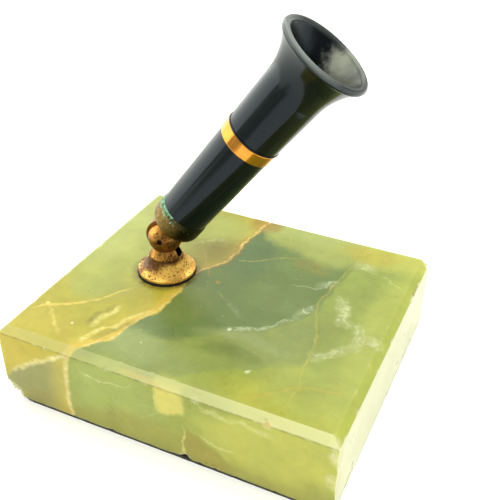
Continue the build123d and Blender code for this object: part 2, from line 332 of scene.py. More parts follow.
# green onyx: sawn slab, ground and polished. A soft gloss over cloudy, translucent colour, with healed
# cracks of yellow and white calcite that run on from the top down the front.
# The pattern is drawn on x and v, in mm, where v is y on the top and goes on down the front face.
rightCrack = [(35.4, -41), (34.5, -35.7), (35.1, -31.1), (33.2, -24.3), (32.8, -16.3), (32, -9.7),
              (29.7, -2.9), (27, 6.9), (27.7, 11.1), (28.6, 20.2), (30, 28.8)]
onyxSet = {
    # the stone right of the main vein, and what is painted over it in turn. A cloud has a colour, middle,
    # reach, softness, strength and cracks that cut it off on one side. A border has a colour, the way that
    # it runs, its points, how far off it the paint starts and is full, and strength.
    "right": "#74894F",
    "rightPaint": [
        ("#607850", (-3, 22), (9, 14), 0.9, 0.8),
        ("#7F9158", (14, 2), (10, 6), 0.9, 0.6),
        ("#93A05A", "x", [(-8, -28), (2.4, -22.4), (8.2, -16.7), (17, -12.5), (21.4, -6.7), (24.9, -2.7),
                          (27, 4)], 0.6, -3.0, 1.0),
        ("#9FAB76", (13, -18.5), (13, 2.8), 0.9, 0.6),
        ("#7C8A4A", (14, -27.3), (9, 3.0), 0.9, 0.75),
        ("#A0AE74", (-13, -34), (9, 6), 0.9, 0.7),
        ("#84924F", (-8, -10), (5, 9), 0.9, 0.7),
        ("#A0AA53", "x", [(0, -44), (3.7, -40.3), (7.5, -37.6), (10.6, -35.6), (14.2, -31.8), (21, -29.5),
                          (27.5, -25.5), (32.5, -23.1), (51, -17)], 0.5, -1.2, 1.0),
        ("#9CAA56", "v", rightCrack, 0.0, 2.0, 0.9),
        ("#8F9A4E", (33, -5), (4, 10), 0.9, 0.7),
        ("#B2BB60", (48, -8), (7, 46), 0.9, 0.9),
        ("#C0BE52", (34, -39), (17, 6), 0.9, 0.7),
        ("#ABB45C", (40, -30), (14, 10), 0.8, 0.7),
        ("#ABB466", "x", [(-4, 34), (2.7, 27.3), (9.6, 26), (18, 22.7), (24.2, 22.3), (29.5, 24.9),
                          (40, 30)], -0.5, 6.0, 0.95),
        ("#B0BA76", (8, 41), (26, 5), 0.9, 0.8),
        ("#C6C868", (44, 38), (18, 7), 0.9, 0.85),
        ("#8F8C4A", (19, 22), (5, 3), 0.9, 0.6),
        ("#A9B564", (-14, -56), (16, 12), 0.6, 1.0),
        ("#BFC060", (36, -56), (22, 12), 0.6, 1.0),
        ("#E8DC7E", (4.0, -50), (7.5, 8.5), 1.1, 0.8,
         ("v", [(-0.4, -44), (-0.2, -46.5), (0.2, -54.9), (0.6, -58)], 1),
         ("v", [(8.2, -44), (8.5, -46.1), (8.8, -53.0), (9.0, -58)], -1),
         ("x", [(-2, -56.2), (0.8, -55.2), (5, -54), (8.8, -53.2), (11, -52.5)], 1)),
        ("#D2B45C", (-3, -45.0), (8, 1.4), 0.9, 0.55),
        ("#A8A656", (0, -68), (60, 6), 0.9, 0.85),
        ("#A49C4C", (12, -65), (10, 9), 0.6, 0.9, ("v", [(8.4, -55), (8.2, -62), (8, -69)], 1),
         ("x", [(7, -56.5), (8.6, -57.5), (12.1, -58.9), (16.8, -61.2), (22, -64.5)], -1)),
        ("#A0823A", (-1.5, 40), (3, 4), 1.2, 0.75),
        ("#BDB04A", (33, 37), (10, 5), 0.9, 0.6),
    ],
    "left": "#B8B03C",
    "leftPaint": [
        ("#AEB55C", (-40, 14), (24, 26), 0.9, 0.95),
        ("#BCC474", (-46, 22), (8, 26), 0.9, 0.7),
        ("#A6AE5A", (-36, -14), (8, 6), 1.0, 0.7),
        ("#A3A052", (-28, 4), (7, 6), 1.0, 0.4),
        ("#857D40", (-12, 18), (10, 12), 1.5, 0.9),
        ("#A88836", (-6, 40), (3.5, 4.5), 1.2, 0.85),
        ("#B5BD6A", (-22, 32), (16, 10), 0.9, 0.8),
        ("#C1B444", (-42, -42), (16, 12), 0.7, 0.9),
        ("#CCBA44", (-46, -51), (10, 8), 0.6, 0.9),
        ("#9C9C66", "x", [(-51, -62), (-49.4, -60.7), (-42, -54.8), (-34, -50.1), (-28, -46.1),
                          (-24, -44.5)], 0.2, -0.6, 0.95),
        ("#A39A58", (-38, -68), (14, 4), 0.9, 0.6),
    ],
    # veins: colour, the way it runs, its points, half width, softness, strength, and a word if wispy
    "veins": [
        ("#EDD56C", "x", [(-48.4, -33.5), (-43.8, -29.7), (-35.6, -24), (-30.4, -18.4), (-27.5, -13.4),
                          (-25.1, -10)], 0.25, 0.9, 1.0),
        ("#E6D072", "v", [(-44.2, -28.5), (-41, -32.1), (-35.5, -37.5), (-32.1, -40.5)], 0.2, 0.9, 0.85),
        ("#938C3A", "v", [(-28.6, -33.4), (-28.3, -27.6), (-26.7, -23.5), (-26.5, -20.2)], 0.4, 1.3, 0.75),
        ("#E8DC8C", "v", [(-26.8, -33.4), (-26.5, -27.6), (-24.9, -23.5), (-24.9, -20.2)], 0.4, 1.1, 0.95),
        ("#98913C", "v", [(-23.4, -37.5), (-21.3, -32.5), (-18.6, -28), (-17.0, -24)], 0.5, 1.3, 0.8),
        ("#EADC8A", "v", [(-26, -40.6), (-25.2, -35.7), (-23.6, -31.8), (-20.8, -29.7), (-19.9, -25.3),
                          (-18.3, -22.8), (-15, -18.7)], 0.35, 1.0, 0.95),
        ("#CFD4A4", "x", [(-23, 17.2), (-19, 20.7), (-14.7, 24), (-11.2, 24)], 0.4, 1.2, 0.6, "wispy"),
        ("#B99A4C", "v", [(-6, 1.3), (-10.1, 6), (-17, 16.9)], 0.15, 0.6, 0.5),
        ("#C3B45C", "x", [(-5.2, 15.3), (1, 17.7), (7.7, 22.6), (15.4, 25.3)], 0.12, 0.4, 0.6),
        ("#C0B968", "x", [(-3, -1.6), (2.5, -5.2)], 0.12, 0.4, 0.6),
        ("#AFC09A", "x", [(1.5, -4.5), (6, -8), (10.6, -11)], 0.5, 1.2, 0.7, "wispy"),
        ("#CBD6B4", "x", [(15.1, 9.8), (20.6, 11.1), (25.6, 12.2)], 0.1, 0.35, 0.6),
        ("#DCE6C8", "x", [(22.5, 13), (26.3, 15.3), (29.5, 17.5)], 1.6, 1.2, 1.0, "wispy"),
        ("#C4D4B4", "x", [(6, -18), (8.2, -16.7), (17, -12.5), (21.4, -6.7), (24.9, -2.7), (26, 3.2)],
         0.6, 1.0, 0.95, "wispy"),
        ("#DCE8D0", "x", [(22, -3.5), (25, 0.3), (27.5, 3.2)], 1.6, 1.0, 1.0, "wispy"),
        ("#C9BB55", "v", rightCrack, 0.1, 0.45, 0.65),
        ("#CDB858", "x", [(23.1, -40.8), (26.8, -38), (30.1, -35), (36.2, -30.1), (42.6, -28.6),
                          (48.4, -26.9)], 0.15, 0.9, 0.6),
        ("#E0E4C0", "v", [(31.6, 12), (33.4, 9), (35, 4), (36.5, -0.4), (38, -3.0)], 1.6, 1.4, 1.0, "wispy"),
        ("#E0E4C0", "v", [(39, 1.6), (42.4, -3.5), (43, -8), (41.8, -12)], 1.3, 1.3, 1.0, "wispy"),
        ("#DEE0BA", "x", [(32, -18.5), (36, -16.8), (38.8, -13.7), (43.5, -9.5)], 1.8, 1.6, 1.0, "wispy"),
        ("#E4E6C6", "x", [(42.5, -5.6), (45.1, -4.2), (47.5, -5.4), (50.7, -6.8)], 1.3, 1.3, 1.0, "wispy"),
        ("#DEE2BC", "x", [(29.5, 27), (33, 29.6), (37, 28.8), (39, 27.5)], 1.3, 1.3, 0.95, "wispy"),
        ("#D5D994", "x", [(39.5, 27.5), (45.2, 23.8), (49.3, 21.5)], 0.1, 0.5, 0.5),
        ("#EDE4B0", "x", [(-50, -61), (-42, -54.8), (-34, -50.1), (-28, -46.1), (-25.5, -44.5)],
         0.5, 0.9, 0.85),
        ("#E8DDA0", "v", [(-28.2, -69), (-28.6, -64.7), (-28.8, -58.6), (-28.5, -53.2), (-26.6, -46)],
         0.5, 0.7, 0.8),
        ("#D6DCA2", "x", [(-24.3, -49.8), (-18.3, -51.4), (-14.1, -50.7), (-10.1, -50), (-6.3, -47.9)],
         0.12, 0.45, 0.75),
        ("#E6DE9C", "v", [(-0.2, -46.5), (0.2, -54.9)], 0.1, 0.5, 0.6),
        ("#D8DA96", "x", [(-5.3, -59.7), (-0.7, -56.8), (1.9, -54.7)], 0.1, 0.5, 0.55),
        ("#E4DC8C", "v", [(8.4, -56), (8, -69)], 0.15, 0.4, 0.75),
        ("#DCDC98", "x", [(11.7, -57.8), (15.5, -59.1), (19.7, -60.6), (24.1, -59.3)], 0.15, 0.5, 0.7),
        ("#DDE0A0", "x", [(12.2, -46.8), (21.2, -49.2), (25.5, -48.7), (29.7, -49.3), (35.2, -50)],
         0.3, 1.2, 0.6),
    ],
    "mainVein": [(-28.3, -69), (-28.5, -60), (-26.5, -45.3), (-25, -41.9), (-21.5, -38), (-18.4, -33.4),
                 (-17.5, -28.3), (-15.7, -22.7), (-13.5, -17.5), (-13.3, -12.2), (-12.7, -6.6), (-13, 3),
                 (-9.9, 8.5), (-8.3, 11.2), (-6.3, 18.1), (-6.5, 25.5), (-5.5, 35.1), (-3.2, 44)],
    "halo": "#D9C450",  # the stone just left of the main vein, in front
    # stripes along it: colour, shift and half width. Gold in front, brown behind, a pale core all along.
    "mainStripes": [("#E8C65E", -1.2, 2.2), ("#AC7230", 0.0, 1.7), ("#F3DA94", -0.2, 0.7)],
    # spots: colour, place, reach
    "spots": [
        ("#8A6A2E", (51, 24.5, 24), 1.2), ("#DDC07A", (32, -44, 23.8), 0.9), ("#AC9450", (-4.6, 2, 26), 1.1),
        ("#F4F2DC", (-32.5, -33.6, 26), 0.6), ("#F0F0DC", (-10.9, -32.4, 26), 0.6),
        ("#EEF0DA", (8.5, -17.1, 26), 0.8), ("#EFF0D4", (20.6, -30.5, 26), 0.9),
        ("#F6F3DA", (-38.6, -43.8, 24), 0.5), ("#F8F5E0", (-34.9, -43.8, 24), 0.6),
        ("#F2E288", (-44.4, -29, 26), 1.0),
    ],
    "cast": (0.765, 0.765, 0.60),  # stone in this strong light is darker and yellower than it looks
    # sizes of patterns in mm, and how far the first two push a line about
    "jagSize": 4.0,
    "jag": 3.0,
    "driftSize": 20.0,
    "drift": 10.0,
    "brokenSize": 2.6,
    "granuleSize": 0.9,
    "wispSize": 3.4,
    "cloudSizes": {9.0: 0.10, 2.5: 0.04},  # and how much lighter or darker each makes the stone
    "fleckSize": 0.6,
    "grimeSize": 2.0,
    "smearSize": 12.0,
    "gritSize": 0.7,
    "endFade": 3.0,
    "cutSoft": 0.7,
    "grimeSpan": (3.0, -0.5),  # from the gasket's edge
    "fleck": "#E6EAD4",
    "dirt": "#6B4A22",
    "seamDirt": "#6F6A30",
    "frontEdge": -46.2,  # v at the front chamfer's lower edge, and the way that this edge faces
    "frontEdgeWay": (0, -0.92, 0.38),
    "chalk": "#EFEBCB",
    "groundAndSheen": "#EFEFC8",  # the chamfers are ground and not polished out, with a painted sheen over that finish, and paler to the right
    "groundAndSheenSpan": (-20.0, 45.0),
    "leftGroundAndSheen": "#E2EBD6",
    "rightEndGlare": "#E6E6D6",  # painted light: the right end is painted near white for the glare and glow of strong light on it
    "wornDull": 0.3,
}


def flatPoint(tree, point):
    # x across the slab, and v: y on the top, then on down the front
    x = addNode(tree, "VectorMath", {0: point, 1: (1, 0, 0)}, give="Value", operation="DOT_PRODUCT")
    deep = addNode(tree, "VectorMath", {0: point, 1: (0, 1, 1)}, give="Value", operation="DOT_PRODUCT")
    v = addNode(tree, "Math", {0: deep, 1: slabHigh.z / mm}, operation="SUBTRACT")
    return x, v


def traceVein(tree, x, v, runs, points):
    # how far a place lies from the vein's line, and a fade towards the line's two ends
    ways = sorted((p if runs == "x" else p[::-1]) for p in points)
    start, end = ways[0][0], ways[-1][0]
    low = min(w[1] for w in ways)
    span = max(w[1] for w in ways) - low
    along = addNode(tree, "MapRange", {"Value": x if runs == "x" else v, "From Min": start, "From Max": end})
    line = addNode(tree, "FloatCurve", {"Value": along})
    curve = line.node.mapping.curves[0]
    steps = [((a - start) / (end - start), (b - low) / span) for a, b in ways]
    for k, step in enumerate(steps):
        if k == 0 or k == len(steps) - 1:
            curve.points[0 if k == 0 else len(curve.points) - 1].location = step
        else:
            curve.points.new(*step)
    line.node.mapping.update()
    across = addNode(tree, "MapRange", {"Value": line, "To Min": low, "To Max": low + span})
    off = addNode(tree, "Math", {0: v if runs == "x" else x, 1: across}, operation="SUBTRACT")
    share = min(0.4, onyxSet["endFade"] / (end - start))
    ends = addNode(tree, "Math", {0: along, 1: 0.5}, operation="PINGPONG")
    fade = addNode(tree, "MapRange", {"Value": ends, "From Max": share})
    return off, fade


onyx, tree, inMm = newMaterial("polishedGreenOnyx")
jagged = warped(tree, inMm, inMm, onyxSet["jagSize"], onyxSet["jag"], Detail=5.0, Roughness=0.62)
drifted = warped(tree, inMm, jagged, onyxSet["driftSize"], onyxSet["drift"], Detail=3.0)
x, v = flatPoint(tree, jagged)
broadX, broadV = flatPoint(tree, drifted)
broad = addNode(tree, "CombineXYZ", {"X": broadX, "Y": broadV})


def paintStone(tree, colour, strokes):
    for tint, where, *rest in strokes:
        if where in ("x", "v"):
            points, start, full, strength = rest
            cuts = []
            away = traceVein(tree, x, v, where, points)[0]
        else:
            reach, soft, strength, *cuts = rest
            near = addNode(tree, "Mapping", {"Vector": broad, "Location": (*where, 0), "Scale": (*reach, 1)},
                           vector_type="TEXTURE")
            away = addNode(tree, "VectorMath", {0: near}, give="Value", operation="LENGTH")
            start, full = 1 + soft / 2, 1 - soft / 2
        held = addNode(tree, "MapRange", {"Value": away, "From Min": start, "From Max": full,
                                          "To Max": strength}, interpolation_type="SMOOTHSTEP")
        for runs, points, way in cuts:  # a crack cuts the cloud off on one side
            past = traceVein(tree, x, v, runs, points)[0]
            softly = onyxSet["cutSoft"] * way
            past = addNode(tree, "MapRange", {"Value": past, "From Min": -softly, "From Max": softly})
            held = together(tree, held, past)
        colour = paint(tree, colour, (tint, held))
    return colour


rightStone = paintStone(tree, linear(onyxSet["right"]), onyxSet["rightPaint"])
leftStone = paintStone(tree, linear(onyxSet["left"]), onyxSet["leftPaint"])
mainOff = traceVein(tree, x, v, "v", onyxSet["mainVein"])[0]
side = addNode(tree, "MapRange", {"Value": mainOff, "From Min": -0.2, "From Max": 0.4})
colour = addNode(tree, "Mix", {"Factor": side, "A": leftStone, "B": rightStone}, data_type="RGBA")
broken = patches(tree, inMm, onyxSet["brokenSize"], low=0.36, high=0.6, least=0.35, Detail=5.0,
                 Roughness=0.65)
granular = patches(tree, inMm, onyxSet["granuleSize"], low=0.36, high=0.6, Detail=4.0, Roughness=0.7)
inFront = addNode(tree, "MapRange", {"Value": v, "From Min": 6.0, "From Max": -10.0, "To Min": 0.15})
behind = addNode(tree, "MapRange", {"Value": v, "From Min": -2.0, "From Max": 8.0})
onTop = addNode(tree, "MapRange", {"Value": v, "From Min": -50.0, "From Max": -44.0})
warm = addNode(tree, "MapRange", {"Value": mainOff, "From Min": -8.0, "From Max": -0.3, "To Max": 0.7})
leftOnly = addNode(tree, "MapRange", {"Value": mainOff, "From Min": 0.2, "From Max": -0.3})
colour = paint(tree, colour, (onyxSet["halo"], together(tree, warm, leftOnly, inFront)))
stripesShow = (together(tree, inFront, onTop), together(tree, behind, granular), broken)
for (tint, shift, width), shows in zip(onyxSet["mainStripes"], stripesShow):
    held = addNode(tree, "MapRange", {"Value": offBy(tree, mainOff, shift), "From Min": width,
                                      "From Max": width * 0.3, "To Max": 0.85})
    colour = paint(tree, colour, (tint, together(tree, held, shows, broken)))
# wisps follow the lines where the noise crosses its middle
wisps = addNode(tree, "TexNoise", {"Vector": jagged, "Scale": 1 / onyxSet["wispSize"], "Detail": 1.0,
                                   "Roughness": 0.5, "Distortion": 0.6})
wisps = addNode(tree, "MapRange", {"Value": offBy(tree, wisps, 0.5), "From Min": 0.08, "From Max": 0.005,
                                   "To Min": 0.24, "To Max": 0.72})
for tint, runs, points, half, soft, strength, *wispy in onyxSet["veins"]:
    off, fade = traceVein(tree, x, v, runs, points)
    away = addNode(tree, "Math", {0: off}, operation="ABSOLUTE")
    held = addNode(tree, "MapRange", {"Value": away, "From Min": half + soft, "From Max": half * 0.5,
                                      "To Max": strength}, interpolation_type="SMOOTHSTEP")
    colour = paint(tree, colour, (tint, together(tree, held, fade, wisps if wispy else broken)))
# cloudy depth, finer mottling, and white flecks frozen in the stone
for size, change in onyxSet["cloudSizes"].items():
    shade = patches(tree, drifted, size, low=0.3, high=0.7, least=1 - change, most=1 + change, Detail=6.0,
                    Roughness=0.6)
    colour = addNode(tree, "VectorMath", {0: colour, "Scale": shade}, operation="SCALE")
flecks = patches(tree, inMm, onyxSet["fleckSize"], low=0.71, high=0.78, most=0.5)
colour = paint(tree, colour, (onyxSet["fleck"], flecks))
# ground chamfers at the front and left are paler, partly their finish and partly a painted sheen, and the
# right end is painted near white as painted light
facing = addNode(tree, "TexCoord", give="Normal")
paler = fadeAlong(tree, inMm, (1, 0, 0), *onyxSet["groundAndSheenSpan"], least=0.3, most=0.72)
slope = math.sqrt(0.5)
# painted light: a sheen painted on the chamfers over their ground finish, and the right end painted near
# white for glare
for tint, heading, strength in ((onyxSet["groundAndSheen"], (0, -slope, slope), paler),
                                (onyxSet["leftGroundAndSheen"], (-slope, 0, slope), 0.7),
                                (onyxSet["rightEndGlare"], (1, 0, 0), 0.75)):
    held = fadeAlong(tree, facing, heading, low=0.85, high=0.97, most=strength)
    colour = paint(tree, colour, (tint, held))
# grime trapped round the gasket and along the front chamfer's lower edge
foot = addNode(tree, "VectorMath", {0: inMm, 1: postFoot / mm}, give="Value", operation="DISTANCE")
grimeFrom, grimeFull = (gasketRadius / mm + out for out in onyxSet["grimeSpan"])
foot = addNode(tree, "MapRange", {"Value": foot, "From Min": grimeFrom, "From Max": grimeFull},
               interpolation_type="SMOOTHSTEP")
patchy = patches(tree, inMm, onyxSet["grimeSize"], low=0.35, high=0.65, least=0.25, most=0.9, Detail=4.0)
seam = offBy(tree, flatPoint(tree, inMm)[1], onyxSet["frontEdge"])
seam = addNode(tree, "MapRange", {"Value": seam, "From Min": 0.5, "From Max": 0.1, "To Max": 0.7})
onEdge = addNode(tree, "VectorMath", {0: facing, 1: onyxSet["frontEdgeWay"]}, give="Value",
                 operation="DOT_PRODUCT")
onEdge = addNode(tree, "Math", {0: onEdge, 1: 0.8}, operation="GREATER_THAN")
colour = paint(tree, colour, (onyxSet["dirt"], together(tree, foot, patchy)),
               (onyxSet["seamDirt"], together(tree, seam, onEdge, patchy)))
# broken edges are frosted and chalky, with a faint chalky line along every rounded edge that is also a
# painted edge highlight, and a few spots are stained
worn = addNode(tree, "Attribute", give="Fac", attribute_name="wear")
# the chalk along every rounded edge is also a faint painted edge highlight
chalkAndEdgeHighlight = addNode(tree, "MapRange", {"Value": worn, "From Min": 0.14, "To Max": 0.6})
colour = paint(tree, colour, (onyxSet["chalk"], chalkAndEdgeHighlight))
for tint, place, reach in onyxSet["spots"]:
    away = addNode(tree, "VectorMath", {0: jagged, 1: place}, give="Value", operation="DISTANCE")
    held = addNode(tree, "MapRange", {"Value": away, "From Min": reach, "From Max": reach * 0.4,
                                      "To Max": 0.85})
    colour = paint(tree, colour, (tint, held))
colour = addNode(tree, "VectorMath", {0: colour, 1: onyxSet["cast"]}, operation="MULTIPLY")
gloss = patches(tree, inMm, onyxSet["smearSize"], low=0.3, high=0.7, least=0.26, most=0.38, Detail=5.0)
gloss = addNode(tree, "Math", {0: worn, 1: onyxSet["wornDull"], 2: gloss}, operation="MULTIPLY_ADD")
grit = addNode(tree, "TexNoise", {"Vector": inMm, "Scale": 1 / onyxSet["gritSize"], "Detail": 3.0})
bump = addNode(tree, "Bump", {"Height": together(tree, grit, worn), "Strength": 0.6, "Distance": 0.5 * mm})
shader = addNode(tree, "BsdfPrincipled", {
    "Base Color": colour, "Roughness": gloss, "Normal": bump, "IOR": 1.5, "Specular IOR Level": 0.29,
    "Subsurface Weight": 0.2, "Subsurface Radius": (1.0, 1.1, 0.5), "Subsurface Scale": 4 * mm})
addNode(tree, "OutputMaterial", {"Surface": shader})

slabSet = {
    "chamfer": 2.2 * mm,
    "cell": 0.8 * mm,
    "chamferCells": 3,
    "rounding": 0.10 * mm,
    "nibble": 0.6 * mm,
    "nibbleSize": 3.2 * mm,
    "nibbleFrom": 0.35,  # only where the noise is above this
    "fractal": (1.0, 2.0, 4),  # roughness, step and octaves of that noise
    "rag": (0.7, 0.6),  # least depth of a chip, and what noise adds or takes
    "ragSize": 1.3 * mm,
    "cornerAngle": 0.4,
    "smoothAngle": 0.35,
    "fullWear": 0.45 * mm,
    "safeCore": 6 * mm,
    "stemHole": 4.4 * mm,
    "boreClear": 1.5 * mm,
    "overcut": 1.0 * mm,
    "weld": 0.01 * mm,
    "holeSteps": 48,
    # places where more has broken away: x, y, z, reach, depth in mm
    "chips": [
        (-51, -44, 1, 5.5, 2.6), (8, -44, 1, 2.0, 1.2), (51, -44, 20.5, 3.4, 0.7), (51, -44, 12, 3.8, 0.6),
        (50, -43, 24, 2.4, 0.8), (51, 44, 24, 4.0, 1.2), (-38.6, -44, 23.8, 1.0, 0.35),
        (-34.9, -44, 23.8, 1.1, 0.4), (-3, -44, 23.8, 1.4, 0.5), (12, -44, 23.8, 1.5, 0.6),
        (32, -44, 23.8, 1.8, 0.7), (51, 24, 23.8, 1.5, 0.6), (51, -30, 23.8, 1.4, 0.4),
        (-51, 20, 1, 3.0, 1.0), (20, 44, 1, 3.0, 1.0),
    ],
}
bm = bmesh.new()
bmesh.ops.create_cube(bm, size=1.0)
bmesh.ops.scale(bm, vec=slabHigh - slabLow, verts=bm.verts)
bmesh.ops.translate(bm, vec=(slabLow + slabHigh) / 2, verts=bm.verts)
middleZ = (slabLow.z + slabHigh.z) / 2
rim = [e for e in bm.edges if all(p.co.z > middleZ for p in e.verts)]
bmesh.ops.bevel(bm, geom=rim, offset=slabSet["chamfer"], offset_type="OFFSET", affect="EDGES", segments=1,
                profile=0.5, material=-1)
for way in ("x", "y", "z", "slant"):
    chosen = []
    for edge in bm.edges:
        along = (edge.verts[1].co - edge.verts[0].co).normalized()
        flat = [name for name in "xyz" if abs(getattr(along, name)) > 0.99]
        if (flat[0] if flat else "slant") == way:
            chosen.append(edge)
    longest = max(e.calc_length() for e in chosen)
    cuts = slabSet["chamferCells"] if way == "slant" else round(longest / slabSet["cell"])
    bmesh.ops.subdivide_edges(bm, edges=chosen, cuts=cuts, use_grid_fill=True)
bm.normal_update()
wear = bm.verts.layers.float.new("wear")
corner = {e for e in bm.edges if e.calc_face_angle(0) > slabSet["cornerAngle"]}
moves = {}
for point in {p for e in corner for p in e.verts}:
    rough = noise.fractal(point.co / slabSet["nibbleSize"], *slabSet["fractal"])
    moves[point] = slabSet["rounding"] + slabSet["nibble"] * max(0.0, rough - slabSet["nibbleFrom"])
ragLeast, ragMore = slabSet["rag"]
for chipX, chipY, chipZ, reach, deep in slabSet["chips"]:
    centre = Vector((chipX, chipY, chipZ)) * mm
    for point in bm.verts:
        away = (point.co - centre).length / (reach * mm)
        if away < 1:
            ragged = ragLeast + ragMore * noise.noise(point.co / slabSet["ragSize"])
            depth = deep * mm * (1 - away * away) * ragged
            moves[point] = max(moves.get(point, 0.0), depth)
inset = Vector((1, 1, 1)) * slabSet["safeCore"]
coreLow, coreHigh = slabLow + inset, slabHigh - inset
for point, depth in moves.items():  # what breaks away goes in towards the core
    core = Vector((min(max(point.co[k], coreLow[k]), coreHigh[k]) for k in range(3)))
    point[wear] = min(1.0, depth / slabSet["fullWear"])
    point.co += (core - point.co).normalized() * depth
for face in bm.faces:
    face.smooth = True
bm.normal_update()
for edge in bm.edges:
    edge.smooth = edge.calc_face_angle(0) < slabSet["smoothAngle"]
slab = finishMesh("onyxSlab", bm, onyx, "base", "green_onyx", "base_slab")
# the stem hole and its counterbore are drilled out of the finished block
boreRadius = (washerHigh.x - washerLow.x) / 2 + slabSet["boreClear"]
bm = bmesh.new()
drillLow, drillHigh = slabLow.z - slabSet["overcut"], slabHigh.z + slabSet["overcut"]
outline = [(0, drillLow), (boreRadius, drillLow), (boreRadius, counterboreTop),
           (slabSet["stemHole"], counterboreTop), (slabSet["stemHole"], drillHigh), (0, drillHigh)]
points = [bm.verts.new((postFoot.x + r, postFoot.y, z)) for r, z in outline]
for start, end in zip(points, points[1:]):
    bm.edges.new((start, end))
bmesh.ops.spin(bm, geom=list(bm.verts) + list(bm.edges), cent=postFoot, axis=(0, 0, 1), angle=2 * math.pi,
               steps=slabSet["holeSteps"], use_merge=True)
bmesh.ops.remove_doubles(bm, verts=bm.verts, dist=slabSet["weld"])
bmesh.ops.recalc_face_normals(bm, faces=bm.faces)
drill = newObject("stemDrill", bm)
cut = slab.modifiers.new("stemHole", "BOOLEAN")
cut.operation = "DIFFERENCE"
cut.solver = "EXACT"
cut.object = drill
drilled = bpy.data.meshes.new_from_object(slab.evaluated_get(bpy.context.evaluated_depsgraph_get()))
slab.modifiers.clear()
slab.data = drilled
drilled.name = "onyxSlab"
bpy.data.objects.remove(drill)
print("slab made:", len(slab.data.polygons), "faces")


# wool felt: pressed, dyed dark green, glued under the stone. Matt, with short loose fibres. It is kept near
# black and drawn wider than it is, so that its edge stands in for the contact shadow under the stone.
feltSet = {"dark": "#12150E", "light": "#2B2F21", "fibre": 0.5,  # fibres drawn coarse to show
           "corner": 8.0 * mm, "cornerSteps": 8, "cell": 2.0 * mm, "fray": 0.15 * mm, "fraySize": 0.8 * mm,
           "spread": 0.75 * mm}  # the sheet is drawn this much wider, so that its dark edge shows under the stone as a painted contact shadow
felt, tree, inMm = newMaterial("pressedWoolFelt")
fibre = addNode(tree, "TexNoise", {"Vector": inMm, "Scale": 1 / feltSet["fibre"], "Detail": 4.0})
lint = paint(tree, linear(feltSet["dark"]), (feltSet["light"], fibre))
bump = addNode(tree, "Bump", {"Height": fibre, "Strength": 0.8, "Distance": 0.4 * mm})
shader = addNode(tree, "BsdfPrincipled", {"Base Color": lint, "Roughness": 0.95, "Normal": bump,
                                          "Sheen Weight": 0.15, "Sheen Roughness": 0.5})
addNode(tree, "OutputMaterial", {"Surface": shader})
# the felt is drawn wider than it is, so that its near-black edge is a painted contact shadow under the stone
feltSize = feltHigh - feltLow + Vector((2, 2, 0)) * feltSet["spread"]
feltMiddle = (feltLow + feltHigh) / 2
bm = bmesh.new()
bmesh.ops.create_grid(bm, x_segments=1, y_segments=1, size=0.5)
bmesh.ops.scale(bm, vec=(feltSize.x, feltSize.y, 1), verts=bm.verts)
bmesh.ops.bevel(bm, geom=list(bm.verts), offset=feltSet["corner"], offset_type="OFFSET", affect="VERTICES",
                segments=feltSet["cornerSteps"], profile=0.5, material=-1)
sides = [e for e in bm.edges if e.calc_length() > feltSet["corner"] * 2]
bmesh.ops.subdivide_edges(bm, edges=sides, cuts=round(feltSize.y / feltSet["cell"]))
bmesh.ops.translate(bm, vec=(feltMiddle.x, feltMiddle.y, feltLow.z), verts=bm.verts)
sheetArea = sum(f.calc_area() for f in bm.faces)
wall = bmesh.ops.extrude_face_region(bm, geom=list(bm.faces))
raised = [g for g in wall["geom"] if isinstance(g, bmesh.types.BMVert)]
bmesh.ops.translate(bm, vec=(0, 0, feltSize.z), verts=raised)
for point in bm.verts:
    ragged = feltSet["fray"] * abs(noise.noise(point.co / feltSet["fraySize"]))
    inward = Vector((feltMiddle.x - point.co.x, feltMiddle.y - point.co.y, 0)).normalized()
    point.co += inward * ragged
bmesh.ops.recalc_face_normals(bm, faces=bm.faces)
feltPiece = finishMesh("feltSheet", bm, felt, "base", "baize", "felt_pad")
print("felt made")


# brass: turned, polished and lacquered. Warm gold with soft lights, brown where the lacquer failed, and
# brown as a painted reflection and painted shade on the flange under the neck and on the ball's underside,
# and small dark pits that crowd together in the brown. Clouded lacquer takes some of the mirror away.
brassSet = {
    "lacquerPittedBrass": {
        "nodes": ["flange"], "bright": "#FFD064", "deep": "#E8AE50", "brown": "#5E381A", "pit": "#5A3418",
        "pits": 0.04, "pitSize": 0.6, "roughness": 0.33, "metallic": 0.65,
        "brownFrom": Vector((postFoot.x, postFoot.y, flangeTop)),
        "tarnishAndShadeWay": (-0.28, -0.08, 0.95), "brownSpan": (-3.5, -0.7), "brownMost": 0.95},
    "polishedTurnedBrass": {
        "nodes": ["swivel_head"], "bright": "#E2A84E", "deep": "#BA7E38", "brown": "#6B4420",
        "pit": "#3E2412", "pits": 0.03, "pitSize": 0.6, "roughness": 0.31, "metallic": 0.9,
        "brownFrom": pivot, "tarnishAndShadeWay": (0.35, -0.35, -0.87), "brownSpan": (-1.5, 2.5), "brownMost": 0.85},
    "rolledGoldBand": {
        "nodes": ["trim_band"], "bright": "#E09E44", "deep": "#D08C38", "brown": "#A06A2E", "pit": "#8E5A26",
        "pits": -0.08, "pitSize": 0.9, "roughness": 0.13, "metallic": 1.0,
        "brownFrom": pivot, "tarnishAndShadeWay": (0, 0, 1), "brownSpan": (200, 201), "brownMost": 0.1},
    "barTurnedBrass": {
        "nodes": ["clamp_nut", "spindle_nut", "thrust_washer", "tongue_nut"], "bright": "#D9A94E",
        "deep": "#B98436", "brown": "#7E5426", "pit": "#6E471E", "pits": 0.0, "pitSize": 0.9,
        "roughness": 0.3, "metallic": 1.0,
        "brownFrom": pivot, "tarnishAndShadeWay": (0, 0, -1), "brownSpan": (0, 40), "brownMost": 0.4},
}
# heights in mm, the last two above the flange
slotSet = {"half": 1.65, "recessShade": "#0B0806", "neckTop": (34.8, 35.3), "floor": 0.55, "footLine": (0.55, 0.1)}
